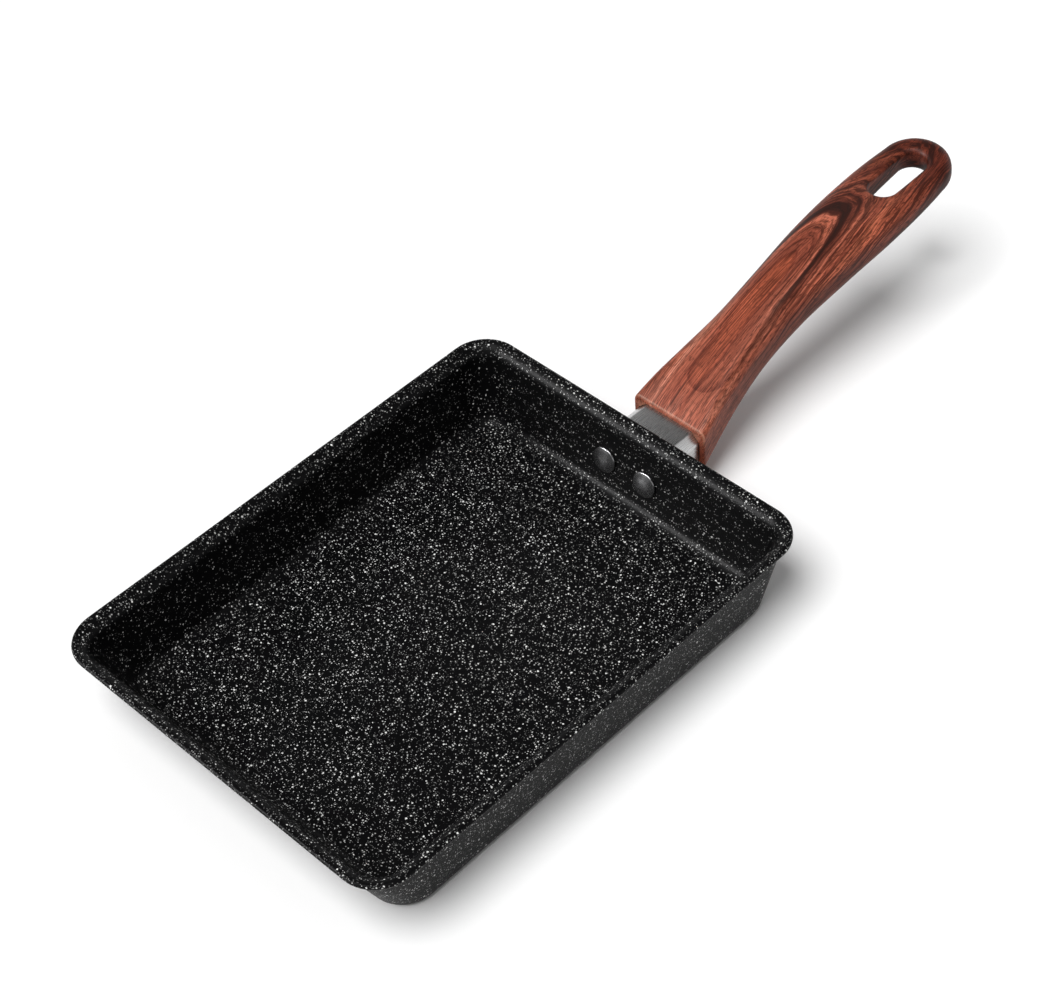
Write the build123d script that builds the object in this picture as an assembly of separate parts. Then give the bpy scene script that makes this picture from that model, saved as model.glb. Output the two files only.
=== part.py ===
from build123d import *
import math
import os

# Rectangular rolled-omelette pan with a moulded handle, in millimetres.
# X runs from the front wall to the handle, Y across the pan and Z up.
# The origin lies on the surface that the pan stands on, under the middle of its mouth.

# Pan: mouth, depth and sheet
mouth_length = 180.0
mouth_width = 138.5
pan_height = 30.5
mouth_corner_radius = 13.0
foot_corner_radius = 11.0
wall_thickness = 2.3
floor_thickness = 3.0

# Pan: how far the foot of each wall lies inside its top
front_lean = 11.0
back_lean = 4.5
side_lean = 3.8
bottom_radius = 4.5
floor_radius = 4.5

# Pan: flared lip
lip_height = 5.0
lip_reach = 3.2
lip_edge_thickness = 1.8
lip_edge_round = 0.7

# Steel plate let into the underside
base_plate_length = 128.0
base_plate_width = 100.0
base_plate_thickness = 0.6
base_plate_corner_radius = 12.0
base_plate_side_clearance = 0.1
base_hole_radius = 2.5
base_hole_pitch = 14.0
base_hole_margin = 8.0

# Rivets through the back wall, under the tongue
rivet_spacing = 17.0
rivet_tongue_gap = 0.35
rivet_shank_radius = 2.4
rivet_clearance = 0.05
rivet_head_radius = 4.6
rivet_head_edge = 0.9
rivet_head_crown = 0.8
rivet_tail_radius = 3.0
rivet_tail_height = 1.6

# Bracket: flange on the wall, tongue into the handle
bracket_sheet = 2.5
flange_width = 32.0
flange_height = 13.2
flange_corner_radius = 3.0
tongue_width = 16.0
tongue_angle = 22.0
tongue_bend_depth = 2.4
tongue_length = 38.0
tongue_headroom = 1.95

# Cover: bent sheet over the tongue, between the wall and the handle, set in from the handle's outline
cover_top_step = 1.3
cover_side_step = 2.2
cover_bottom_step = 3.9
cover_shoulder = 3.3
cover_sheet = 1.0
cover_insertion = 5.0
cover_clearance = 0.2

# Handle: overall sizes, and the place of its front end's middle from the rim
handle_gap = 13.2
handle_drop = 14.2
handle_length = 136.0
handle_rise = 31.25
handle_width = 30.0
handle_thickness = 18.0
handle_end_tilt = 7.5

# Handle: places of its sections as shares of the length up to the round end, and at each of them the
# centre's share of the rise, the shares of width and thickness, and the corner's share of the half height
section_place_shares = (0.0, 0.064, 0.154, 0.277, 0.425, 0.605, 0.794, 0.90, 1.0)
section_rise_shares = (0.0, 0.143, 0.308, 0.486, 0.666, 0.819, 0.914, 0.960, 1.0)
section_width_shares = (1.0, 0.915, 0.815, 0.718, 0.734, 0.830, 0.910, 0.912, 0.851)
section_height_shares = (0.889, 0.972, 0.972, 0.994, 0.994, 0.928, 0.717, 0.567, 0.494)
section_corner_shares = (0.30, 0.40, 0.55, 0.70, 0.80, 0.80, 0.80, 0.80, 0.80)

# Handle: hanging slot
slot_width = 10.2
slot_length = 25.5
slot_end_web = 8.7
slot_top_flare = 1.8
slot_bottom_flare = 3.2

# Handle: hollow for the tongue
tongue_clearance = 0.15
tongue_side_clearance = 0.3
tongue_end_clearance = 0.5

# Screw, washer and weld nut that hold the handle on the tongue
screw_place = 23.0
screw_radius = 2.5
screw_hole_clearance = 0.25
screw_head_radius = 4.4
screw_head_height = 2.6
screw_cross_span = 5.0
screw_cross_width = 1.2
screw_cross_depth = 1.3
screw_well_radius = 5.2
screw_web = 2.0
screw_past_nut = 0.3
washer_radius = 4.8
washer_thickness = 0.8
nut_across_flats = 8.0
nut_height = 3.0
nut_thread_clearance = 0.05
nut_room = 0.3

# How far a cutting shape runs past the piece that it cuts
overrun = 4.0

# Values that follow from the sizes above
half_length = mouth_length / 2
root_height = pan_height - lip_height
back_angle = math.degrees(math.atan2(back_lean, root_height))
wall_across = wall_thickness * math.cos(math.radians(back_angle))
handle_start = half_length + handle_gap
handle_front_height = pan_height - handle_drop
handle_front_top = handle_front_height + handle_thickness / 2 * section_height_shares[0]
handle_front_bottom = handle_front_height - handle_thickness / 2 * section_height_shares[0]
handle_end_radius = handle_width / 2 * section_width_shares[-1]
handle_tip = handle_start + handle_length
handle_bend = handle_tip - handle_end_radius
cover_top = handle_front_top - cover_top_step
cover_bottom = handle_front_bottom + cover_bottom_step
cover_half_width = handle_width / 2 * section_width_shares[0] - cover_side_step
tongue_top = cover_top - cover_sheet - tongue_headroom
tongue_height = tongue_top - bracket_sheet / 2
rivet_height = tongue_top - bracket_sheet - rivet_tongue_gap - rivet_tail_radius
base_centre = (front_lean - back_lean) / 2


def wall_ring(height, inward=0.0):
    """Rounded outline of the leaning walls at one height, moved inward by a wall or less."""
    foot_share = 1 - height / root_height
    front = lip_reach + front_lean * foot_share + inward
    back = lip_reach + back_lean * foot_share + inward
    side = lip_reach + side_lean * foot_share + inward
    top_radius = mouth_corner_radius - lip_reach
    radius = top_radius + (foot_corner_radius - top_radius) * foot_share - inward
    outline = RectangleRounded(mouth_length - front - back, mouth_width - 2 * side, radius)
    return Pos((front - back) / 2, 0, height) * outline


def lip():
    """Flared lip: two quarter ellipses with a rounded edge, carried round the mouth."""
    rim_path = Pos(0, 0, root_height) * RectangleRounded(mouth_length, mouth_width, mouth_corner_radius)
    inner_reach = lip_reach + wall_thickness - lip_edge_round
    outer_reach = lip_reach - lip_edge_round
    under_lip = lip_height - lip_edge_thickness
    middle = (-half_length + lip_edge_round, root_height)
    top = (middle[0], pan_height)
    under = (middle[0], pan_height - lip_edge_thickness)
    edge = (-half_length, pan_height - lip_edge_thickness / 2)
    root_inner = (middle[0] + inner_reach, root_height)
    root_outer = (middle[0] + outer_reach, root_height)
    inner_curve = EllipticalCenterArc(middle, inner_reach, lip_height)
    outer_curve = EllipticalCenterArc(middle, outer_reach, under_lip)
    outline = [inner_curve, ThreePointArc(top, edge, under), outer_curve, Line(root_outer, root_inner)]
    section = Plane.XZ * make_face(Curve() + outline)
    return sweep(section, path=rim_path.wire())


def wall_point(height):
    """Point of the back wall's outer face, in the pan's middle plane."""
    foot_share = 1 - height / root_height
    return (half_length - lip_reach - back_lean * foot_share, 0, height)


def on_back_wall():
    """Plane on the back wall's outer face at the rivets: its Z points out of the pan."""
    lean = math.radians(back_angle)
    outward = (math.cos(lean), 0, -math.sin(lean))
    return Plane(origin=wall_point(rivet_height), x_dir=(0, 1, 0), z_dir=outward)


def rivet_places():
    return (rivet_spacing / 2, -rivet_spacing / 2)


def round_bar(radius, low, high):
    """Cylinder about the local Z axis between two heights."""
    return Pos(0, 0, low) * Cylinder(radius, high - low, align=(Align.CENTER, Align.CENTER, Align.MIN))


def pan_body():
    """Pressed aluminium pan: leaning walls, flat floor and flared lip."""
    outside = loft([wall_ring(0.0), wall_ring(root_height)], ruled=True)
    outside = fillet(outside.edges().group_by(Axis.Z)[0], bottom_radius)
    rings = [wall_ring(height, wall_thickness) for height in (floor_thickness, root_height + overrun)]
    inside = loft(rings, ruled=True)
    inside = fillet(inside.edges().group_by(Axis.Z)[0], floor_radius)
    body = outside - inside + lip()
    body -= base_pocket()
    for place in rivet_places():
        hole = round_bar(rivet_shank_radius + rivet_clearance, -wall_across - overrun, overrun)
        body -= on_back_wall() * Pos(place, 0, 0) * hole
    return body


def base_pocket():
    """Room for the steel plate in the underside."""
    grown = 2 * base_plate_side_clearance
    radius = base_plate_corner_radius + base_plate_side_clearance
    outline = RectangleRounded(base_plate_length + grown, base_plate_width + grown, radius)
    depth = base_plate_thickness + overrun
    return Pos(base_centre, 0, -overrun) * extrude(outline, depth)


def base_plate():
    """Perforated stainless steel plate, flush with the underside; its middle has no hole."""
    outline = RectangleRounded(base_plate_length, base_plate_width, base_plate_corner_radius)
    across = base_plate_width - 2 * (base_hole_margin + base_hole_radius)
    along = base_plate_length - 2 * (base_hole_margin + base_hole_radius)
    rows = 2 * max(1, int((1 + across / base_hole_pitch) / 2))
    columns = 1 + int(along / base_hole_pitch)
    holes = GridLocations(base_hole_pitch, base_hole_pitch, columns, rows) * Circle(base_hole_radius)
    return Pos(base_centre, 0, 0) * extrude(outline - holes, base_plate_thickness)


def rivet(place):
    """Aluminium rivet: low round head inside the pan, shank, and upset tail behind the flange."""
    head_base = -wall_across
    crown = head_base - rivet_head_edge - rivet_head_crown
    dome_radius = (rivet_head_radius ** 2 + rivet_head_crown ** 2) / (2 * rivet_head_crown)
    dome = Pos(0, 0, crown + dome_radius) * Sphere(dome_radius)
    head = round_bar(rivet_head_radius, crown, head_base) & dome
    rounded_edge = head.edges().filter_by(lambda edge: edge.is_closed).sort_by(Axis.Z)[0]
    head = fillet(rounded_edge, rivet_head_edge / 2)
    shank = round_bar(rivet_shank_radius, head_base, bracket_sheet)
    tail = round_bar(rivet_tail_radius, bracket_sheet, bracket_sheet + rivet_tail_height)
    tail = fillet(tail.edges().group_by(Axis.Z)[-1], rivet_tail_height / 2)
    return on_back_wall() * Pos(place, 0, 0) * (head + shank + tail)


def tongue_bend():
    """Where the tongue's centre line turns up, just inside the handle."""
    return (handle_start + tongue_bend_depth, tongue_height)


def on_tongue(distance):
    """Plane on the rising tongue's centre line: X along it, Z square to it and up."""
    rise = math.radians(tongue_angle)
    bend = tongue_bend()
    along = (math.cos(rise), 0, math.sin(rise))
    upward = (-math.sin(rise), 0, math.cos(rise))
    origin = (bend[0] + distance * along[0], 0, bend[1] + distance * along[2])
    return Plane(origin=origin, x_dir=along, z_dir=upward)


def strap(start, length, half_across, below, above):
    """Bent strap along the tongue's centre line, level to the bend and then rising."""
    bend = tongue_bend()
    rise = math.radians(tongue_angle)
    turn = math.tan(rise / 2)
    end = (bend[0] + length * math.cos(rise), bend[1] + length * math.sin(rise))
    upper_end = (end[0] - above * math.sin(rise), end[1] + above * math.cos(rise))
    lower_end = (end[0] + below * math.sin(rise), end[1] - below * math.cos(rise))
    outline = Polyline(
        (start, bend[1] - below),
        (bend[0] + below * turn, bend[1] - below),
        lower_end,
        upper_end,
        (bend[0] - above * turn, bend[1] + above),
        (start, bend[1] + above),
        close=True,
    )
    return extrude(Plane.XZ * make_face(outline), half_across, both=True)


def handle_bracket():
    """Stamped steel bracket: flange riveted to the wall and a tongue bent up into the handle."""
    wall = on_back_wall()
    half_sheet = bracket_sheet / 2
    above_rivets = (tongue_top - rivet_height) / math.cos(math.radians(back_angle))
    outline = RectangleRounded(flange_width, flange_height, flange_corner_radius)
    flange = extrude(Pos(0, above_rivets - flange_height / 2) * outline, bracket_sheet)
    start = wall_point(tongue_height)[0] + half_sheet
    bracket = wall * flange + strap(start, tongue_length, tongue_width / 2, half_sheet, half_sheet)
    rivet_hole = round_bar(rivet_shank_radius + rivet_clearance, -overrun, overrun)
    for place in rivet_places():
        bracket -= wall * Pos(place, 0, 0) * rivet_hole
    screw_hole = round_bar(screw_radius + screw_hole_clearance, -overrun, overrun)
    return bracket - on_tongue(screw_place) * screw_hole


def cover_outline(grown):
    """Section of the cover seen from the handle's end: flat top, slanting shoulders and upright sides."""
    width = 2 * (cover_half_width + grown)
    height = cover_top - cover_bottom + 2 * grown
    outline = Rectangle(width, height, align=(Align.CENTER, Align.MAX))
    slant = cover_shoulder + grown * (2 - math.sqrt(2))
    outline = chamfer(outline.vertices().group_by(Axis.Y)[-1], slant)
    return Pos(0, cover_top + grown) * outline


def across_x(place):
    """Upright plane across the handle: its X is the pan's Y and its Y is up."""
    return Plane(origin=(place, 0, 0), x_dir=(0, 1, 0), z_dir=(1, 0, 0))


def flame_guard():
    """Bent sheet cover: it butts on the flange and slides a short way into the handle."""
    end = handle_start + cover_insertion
    length = end - wall_point(0.0)[0]
    solid = across_x(end) * extrude(cover_outline(0.0), -length)
    mouth = Rectangle(2 * (cover_half_width - cover_sheet), cover_top - cover_bottom)
    hollow = cover_outline(-cover_sheet) + Pos(0, cover_bottom) * mouth
    solid -= across_x(end + overrun) * extrude(hollow, -length - 2 * overrun)
    return solid - on_back_wall() * round_bar(mouth_width, -mouth_width, bracket_sheet)


def section_middle(number):
    """Middle of one of the handle's sections."""
    place = handle_start + section_place_shares[number] * (handle_bend - handle_start)
    return (place, 0, handle_front_height + section_rise_shares[number] * handle_rise)


def section_sizes(number):
    """Half width, half height and corner radius of one of the handle's sections."""
    half_across = handle_width / 2 * section_width_shares[number]
    half_high = handle_thickness / 2 * section_height_shares[number]
    return half_across, half_high, min(half_high, half_across) * section_corner_shares[number]


def section_plane(number):
    """Upright plane of a section; the last one leans so that the round end goes on rising."""
    last = number == len(section_place_shares) - 1
    lean = math.radians(handle_end_tilt if last else 0)
    onward = (math.cos(lean), 0, math.sin(lean))
    return Plane(origin=section_middle(number), x_dir=(0, 1, 0), z_dir=onward)


def handle_section(number):
    """Rounded section of the handle at one of its stations."""
    half_across, half_high, radius = section_sizes(number)
    return section_plane(number) * RectangleRounded(2 * half_across, 2 * half_high, radius)


def skin_plane(side, place):
    """Plane on the tail's upper (side 1) or lower (side -1) skin, with its Z pointing outward."""
    (x_low, _, z_low), (x_high, _, z_high) = section_middle(-3), section_middle(-1)
    z_low += side * section_sizes(-3)[1]
    z_high += side * section_sizes(-1)[1]
    slope = (z_high - z_low) / (x_high - x_low)
    origin = (place, 0, z_low + slope * (place - x_low))
    return Plane(origin=origin, x_dir=(1, 0, slope), z_dir=(-side * slope, 0, side))


def hanging_slot():
    """Slot through the tail, with flared edges above and below."""
    middle = handle_tip - slot_end_web - slot_length / 2
    shape = SlotOverall(slot_length, slot_width)
    cutter = Pos(middle, 0, handle_front_height) * extrude(shape, handle_rise + handle_thickness)
    for side, flare in ((1, slot_top_flare), (-1, slot_bottom_flare)):
        narrow = SlotOverall(slot_length - 2 * flare, slot_width - 2 * flare)
        wide = SlotOverall(slot_length + 4 * flare, slot_width + 4 * flare)
        mouth = loft([Pos(0, 0, -2 * flare) * narrow, Pos(0, 0, flare) * wide], ruled=True)
        cutter += skin_plane(side, middle) * mouth
    return cutter


def handle_grip():
    """Moulded phenolic handle: rising, waisted, with a round end and a hanging slot."""
    sections = [handle_section(number) for number in range(len(section_place_shares))]
    end_plane = section_plane(len(sections) - 1)
    near_side = end_plane * Rectangle(handle_width, handle_thickness, align=(Align.MAX, Align.CENTER))
    turning = Axis(end_plane.origin, end_plane.y_dir)
    round_end = revolve(sections[-1] & near_side, turning, 180)
    grip = loft(sections) + round_end - hanging_slot()
    socket = across_x(handle_start + cover_insertion + cover_clearance) * extrude(
        cover_outline(cover_clearance), -cover_insertion - overrun
    )
    half_tongue = bracket_sheet / 2
    low = half_tongue + tongue_clearance
    high = half_tongue + nut_height + nut_room
    half_across = tongue_width / 2 + tongue_side_clearance
    hollow = strap(handle_start - overrun, tongue_length + tongue_end_clearance, half_across, low, high)
    grip -= socket + hollow
    well = round_bar(screw_well_radius, -washer_seat() - handle_thickness, -washer_seat())
    passage = round_bar(screw_radius + screw_hole_clearance, -washer_seat() - overrun, 0.0)
    return grip - on_tongue(screw_place) * (well + passage)


def washer_seat():
    """Depth of the washer's seat below the tongue's centre line."""
    return bracket_sheet / 2 + tongue_clearance + screw_web


def handle_screw():
    """Machine screw with a low head and a cross recess, driven up from underneath."""
    under_head = -washer_seat() - washer_thickness
    top = bracket_sheet / 2 + nut_height + screw_past_nut / 2
    head = round_bar(screw_head_radius, under_head - screw_head_height, under_head)
    head = fillet(head.edges().group_by(Axis.Z)[0], screw_head_height / 2)
    blade = Box(screw_cross_span, screw_cross_width, 2 * screw_cross_depth)
    cross = Pos(0, 0, under_head - screw_head_height) * (blade + Rot(0, 0, 90) * blade)
    return on_tongue(screw_place) * (head + round_bar(screw_radius, under_head, top) - cross)


def screw_washer():
    """Plain washer between the screw's head and the moulding."""
    low = -washer_seat() - washer_thickness
    ring = round_bar(washer_radius, low, -washer_seat())
    hole = round_bar(screw_radius + screw_hole_clearance, low - overrun, overrun)
    return on_tongue(screw_place) * (ring - hole)


def weld_nut():
    """Hexagonal nut welded on the tongue."""
    low = bracket_sheet / 2
    prism = Pos(0, 0, low) * extrude(RegularPolygon(nut_across_flats / 2, 6, major_radius=False), nut_height)
    bore = round_bar(screw_radius + nut_thread_clearance, low - overrun, low + nut_height + overrun)
    return on_tongue(screw_place) * (prism - bore)


pieces = {
    "pan_body": pan_body(),
    "base_plate": base_plate(),
    "rivet_left": rivet(rivet_places()[0]),
    "rivet_right": rivet(rivet_places()[1]),
    "handle_bracket": handle_bracket(),
    "flame_guard": flame_guard(),
    "handle_grip": handle_grip(),
    "handle_screw": handle_screw(),
    "screw_washer": screw_washer(),
    "weld_nut": weld_nut(),
}

os.makedirs("parts", exist_ok=True)
for name, piece in pieces.items():
    export_step(piece, os.path.join("parts", name + ".step"))
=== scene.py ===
import math

import bmesh
import bpy
import numpy as np
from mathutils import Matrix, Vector


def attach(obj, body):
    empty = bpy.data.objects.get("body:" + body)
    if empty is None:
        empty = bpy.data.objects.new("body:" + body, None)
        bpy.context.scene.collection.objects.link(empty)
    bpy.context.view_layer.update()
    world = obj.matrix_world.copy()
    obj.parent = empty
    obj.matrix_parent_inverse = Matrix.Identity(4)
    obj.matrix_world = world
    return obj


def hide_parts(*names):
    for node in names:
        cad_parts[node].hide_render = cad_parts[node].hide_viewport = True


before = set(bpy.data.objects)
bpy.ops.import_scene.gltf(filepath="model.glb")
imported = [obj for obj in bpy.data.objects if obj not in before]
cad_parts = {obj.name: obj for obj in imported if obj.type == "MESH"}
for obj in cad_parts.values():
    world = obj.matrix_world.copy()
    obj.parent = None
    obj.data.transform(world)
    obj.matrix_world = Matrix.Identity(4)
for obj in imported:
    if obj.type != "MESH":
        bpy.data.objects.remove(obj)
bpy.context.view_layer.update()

# Lengths are in millimetres unless a comment says otherwise, and become metres on their way into a mesh or
# a material. X runs along the handle, Y across the pan, Z up. Corners nearer to each other than the weld,
# in metres, become one
MM = 0.001
WELD = 0.000004
ACROSS = np.array([0.0, 1.0, 0.0])

# Angles in degrees from which an edge is sharp on new pieces and on copies, and is eased on copies
SHARP_NEW, SHARP_COPY, EASE_FROM = 40.0, 30.0, 40.0

# Pan: half of the mouth's length and width, height, corner radii at the rim and at the foot, thickness of
# wall and floor, lean of each wall between the lip's root and the foot, rounding between wall and floor
HALF_LENGTH, HALF_WIDTH, HEIGHT = 90.0, 69.25, 30.5
MOUTH_RADIUS, FOOT_RADIUS = 13.0, 11.0
WALL, FLOOR_TOP = 2.3, 3.0
LEANS = {"front": 11.0, "back": 4.5, "side": 3.8}
FILLET = 4.5

# Lip: height, reach past the wall, thickness of its edge, and how far the edge bulges
LIP_HEIGHT, LIP_REACH, LIP_EDGE, LIP_ROUND = 5.0, 3.2, 1.8, 0.7
ROOT = HEIGHT - LIP_HEIGHT
BACK_LEAN = math.atan2(LEANS["back"], ROOT)

# Pocket of the base plate: half length and width, corner radius, depth, and its middle along X
PLATE_HALF = (64.1, 50.1)
PLATE_RADIUS, PLATE_DEEP = 12.1, 0.6
PLATE_MIDDLE = 3.25

# Points round each corner of the pan, and rows on each rounding of its profile
CORNER_STEPS = 15
ROWS = {"foot": 9, "lip_under": 11, "lip_edge": 9, "lip_top": 15, "floor": 11}

# Bracket: thickness, where its tongue bends up, in X and Z, the tongue's rise, how far along it the screw
# stands, and how far below it the screw's well ends. Well: radius and rounding of its edge
SHEET = 2.5
BEND = (105.6, 18.8)
RISE = math.radians(22.0)
SCREW_ALONG, SEAT_BELOW = 23.0, 3.4
WELL_RADIUS, WELL_EDGE = 5.2, 0.5

# Rivets: height, half their distance; dome's radius, upright rim, crown, soft edge and undercut; shank's
# radius; tail's radius, height and soft edge; steps round the axis, over the dome and round a soft edge
RIVET_HEIGHT, RIVET_OUT = 14.2, 8.5
DOME_RADIUS, DOME_RIM, DOME_CROWN, DOME_SOFT, DOME_UNDERCUT = 4.6, 0.9, 0.8, 0.45, 0.1
SHANK_RADIUS = 2.4
TAIL_RADIUS, TAIL_HEIGHT, TAIL_SOFT = 3.0, 1.6, 0.8
RIVET_STEPS, DOME_STEPS, SOFT_STEPS = 64, 12, 7

# Cover: top, foot, half width, legs of its slanting shoulder, sheet, its bends' reach outside and inside,
# how far it goes into the handle, and the room round it there
COVER_TOP, COVER_BOTTOM, COVER_HALF, COVER_SLANT, COVER_SHEET = 23.0, 12.2, 12.8, 3.3, 1.0
COVER_BEND_OUTSIDE, COVER_BEND_INSIDE = 0.5, 0.15
COVER_IN, SOCKET_ROOM = 5.0, 0.2

# Handle: where it starts and where its round end begins, along X; its sections' places between the two,
# heights of their middles, half widths and half heights, as shares of the full values below them, and the
# radii of their corners, as shares of the half height; tilt of the round end; rounding of the front edge
HANDLE_START, HANDLE_BEND = 103.2, 226.43
PLACES = np.array((0.0, 0.064, 0.154, 0.277, 0.425, 0.605, 0.794, 0.90, 1.0))
RISES = np.array((0.0, 0.143, 0.308, 0.486, 0.666, 0.819, 0.914, 0.960, 1.0))
WIDTHS = np.array((1.0, 0.915, 0.815, 0.718, 0.734, 0.830, 0.910, 0.912, 0.851))
HEIGHTS = np.array((0.889, 0.972, 0.972, 0.994, 0.994, 0.928, 0.717, 0.567, 0.494))
CORNERS = np.array((0.30, 0.40, 0.55, 0.70, 0.80, 0.80, 0.80, 0.80, 0.80))
MIDDLE_LOW, MIDDLE_RISE, FULL_HALF_WIDTH, FULL_HALF_HEIGHT = 16.3, 31.25, 15.0, 9.0
TILT = math.radians(7.5)
FRONT_ROUND = 0.9

# Hanging slot: radius, middles of its two ends along X, and how far its edges flare above and below
SLOT_RADIUS, SLOT_NEAR, SLOT_FAR = 5.1, 210.1, 225.4
TOP_FLARE, BOTTOM_FLARE = 1.8, 3.2

# Points on the handle: round a corner of the section, down its side, across half of its flat top; rows in
# front of the well, round it, on to the slot, round a quarter of the slot's end, along its side
ROUND_POINTS, SIDE_POINTS, FLAT_POINTS = 10, 3, 8
FRONT_ROWS, WELL_ROWS, MIDDLE_ROWS, TURN_ROWS, SLOT_ROWS = 14, 25, 50, 17, 7

# Wood figure: middle of its ovals along X, lengths of one oval ahead and behind, half its width; how much
# wider they are in front, and over what length; where they start to drift across, over what length, how far
OVAL_MIDDLE, OVAL_AHEAD, OVAL_BEHIND, OVAL_HALF = 150.0, 38.0, 100.0, 7.5
OVAL_SPREAD, OVAL_SPREAD_LENGTH = 0.5, 45.0
DRIFT_START, DRIFT_LENGTH, DRIFT_ACROSS = 115.0, 75.0, 3.0

# Its colours from the middle oval outward: place in ovals and hex code
OVALS = (
    (0.00, "#9c4d34"), (0.34, "#964932"), (0.46, "#6a3022"), (0.47, "#864331"), (0.78, "#7e3e2d"),
    (0.90, "#96503b"), (0.99, "#a45a45"), (1.04, "#4c2218"), (1.08, "#25100a"), (1.18, "#2a120b"),
    (1.22, "#5e2c20"), (1.29, "#723828"), (1.34, "#3f1b12"), (1.38, "#7c3d2d"), (1.46, "#a45a44"),
    (1.56, "#5e2c1f"), (1.66, "#a95a43"), (1.80, "#7a3b2b"), (1.95, "#b26147"), (2.30, "#a3543d"))

# Wavering of the ovals, in ovals, and its turns per millimetre along, across and down
SWAY = 0.14
SWAY_TURNS = (0.04, 0.11, 0.11)

# Fibres: distance; length round the ovals, length across there, and length of the straight ones. Pores and
# pale streaks, partly print and partly painted sheen: distance and length
FIBRE, FIBRE_LONG, FIBRE_ACROSS, STRAIGHT_LONG = 0.42, 16.0, 4.0, 20.0
PORE, PORE_LONG = 0.4, 2.2
STREAK, STREAK_LONG = 5.0, 60.0

# Plainer and paler front of the handle, the paleness partly print and partly painted sheen: from where to
# where and how much at most, and its darker tail
PLAIN_FRONT, PLAIN_END, PLAIN_MOST = 104.0, 168.0, 0.74
TAIL_START, TAIL_END = 190.0, 228.0

# Bow that closes the inner oval in front: its middle along X and across, how far one oval of sway moves it;
# how far it reaches to the front, the greatest radius of its ramp, the radii where it starts, is darkest
# and ends; between which places it fades
BOW_PLACE, BOW_ACROSS, BOW_SWAY = 119.6, 3.3, 14.0
BOW_REACH, BOW_SPAN, BOW_RADII = 20.0, 10.0, (4.0, 6.8, 7.2)
BOW_FADE = (117.0, 138.0)

# Painted highlight on the front edge of the handle: strength, share of the rounding, and depth below the
# upper skin
EDGE_HIGHLIGHT, EDGE_HIGHLIGHT_SHARE, EDGE_HIGHLIGHT_DEPTH = 0.45, 0.9, 4.0

# Light specks of the coating, from fine to large: spacing, radius as a share of it, share of the places
# that hold one, and brightness. Real ones start at 0.1 mm; the finest here are as fine as still shows
SPECKS = ((0.56, 0.36, 0.55, 0.34), (0.82, 0.34, 0.52, 0.85), (1.6, 0.24, 0.38, 1.0))

# Specks: the smallest one, its solid core and the faintest one, as shares; share of them on upright parts
# inside and outside, fewer there as painted shade; size and shift of their ragged edges
SMALLEST, CORE, FAINTEST = 0.6, 0.7, 0.25
INNER_SHARE, OUTER_SHARE = 0.42, 0.95
RAGGED, RAGGED_SHIFT = 0.9, 0.5

# Coating: size of its drifts of tone, and size and depth of its orange peel
CLOUD, PEEL, PEEL_DEPTH = 26.0, 0.6, 0.13

# Scratches of brushed steel: distance, and their stretch along X. Real ones are finer than the render shows
SCRATCH, SCRATCH_STRETCH = 0.25, (0.04, 1.0, 1.0)

# Size of the dents of rumbled metal
DENT = 1.6

# Camera at the photograph's angle: place in metres, turn in degrees, lens, sensor, near limit in metres
CAMERA_PLACE = (-0.30498, -0.37836, 0.56791)
CAMERA_TURN = (43.765, 3.412, -45.840)
CAMERA_LENS, CAMERA_SENSOR, CAMERA_NEAR = 83.52, 36.0, 0.01

# Lamps: direction to the lamp, apparent width in degrees, strength. The glint is for reflections alone
KEY = ((-0.42, -0.02, 0.91), 36.0, 2.8)
GLINT = ((-0.74, 0.51, 0.385), 22.0, 4.4)

# Strength of the soft light from all round. In reflections the surroundings darken between two steepnesses,
# each the Z of a direction of length one, down to the darkest
FILL = 0.29
DARKER_FROM, DARKER_TO, DARKEST = 0.5, 0.66, 0.1

# Half the floor's width in metres
FLOOR_REACH = 4.0


def fan(start, end, count):
    """Angles from start to end in degrees, evenly spaced, in radians."""
    return np.radians(np.linspace(start, end, count))


def between_ends(count):
    """Shares that part a length evenly, without its ends."""
    return np.linspace(0.0, 1.0, count + 2)[1:-1]


def sheet_of(points, around=False):
    """Grid of points, rows by columns, to corners and four-sided faces; around closes it into a tube."""
    rows, columns = points.shape[:2]
    index = np.arange(rows * columns).reshape(rows, columns)
    ahead = np.roll(index, -1, axis=1)
    last = columns if around else columns - 1
    faces = np.stack([index[:-1], ahead[:-1], ahead[1:], index[1:]], axis=-1)[:, :last]
    return points.reshape(-1, 3), faces.reshape(-1, 4)


def piece(name, sheets, material, stands_for):
    """New piece from grid sheets in millimetres, which are welded where they meet."""
    corners, faces, count = [], [], 0
    for points, quads in sheets:
        corners.append(points * MM)
        faces.append(quads + count)
        count += len(points)
    mesh = bpy.data.meshes.new(name)
    mesh.from_pydata(np.concatenate(corners).tolist(), [], np.concatenate(faces).tolist())
    return finished(name, mesh, material, stands_for, SHARP_NEW)


def finished(name, mesh, material, stands_for, sharp):
    """Welds a mesh, turns its faces outward, shades it smooth up to the sharp angle, and makes it a piece
    that rides with the pan."""
    shell = bmesh.new()
    shell.from_mesh(mesh)
    bmesh.ops.remove_doubles(shell, verts=shell.verts, dist=WELD)
    bmesh.ops.dissolve_degenerate(shell, edges=shell.edges, dist=WELD)
    bmesh.ops.recalc_face_normals(shell, faces=shell.faces)
    shell.to_mesh(mesh)
    shell.free()
    mesh.shade_smooth()
    mesh.set_sharp_from_angle(angle=math.radians(sharp))
    mesh.materials.clear()
    mesh.materials.append(material)
    made = bpy.data.objects.new(name, mesh)
    bpy.context.scene.collection.objects.link(made)
    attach(made, "root")
    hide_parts(stands_for)
    return made


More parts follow.
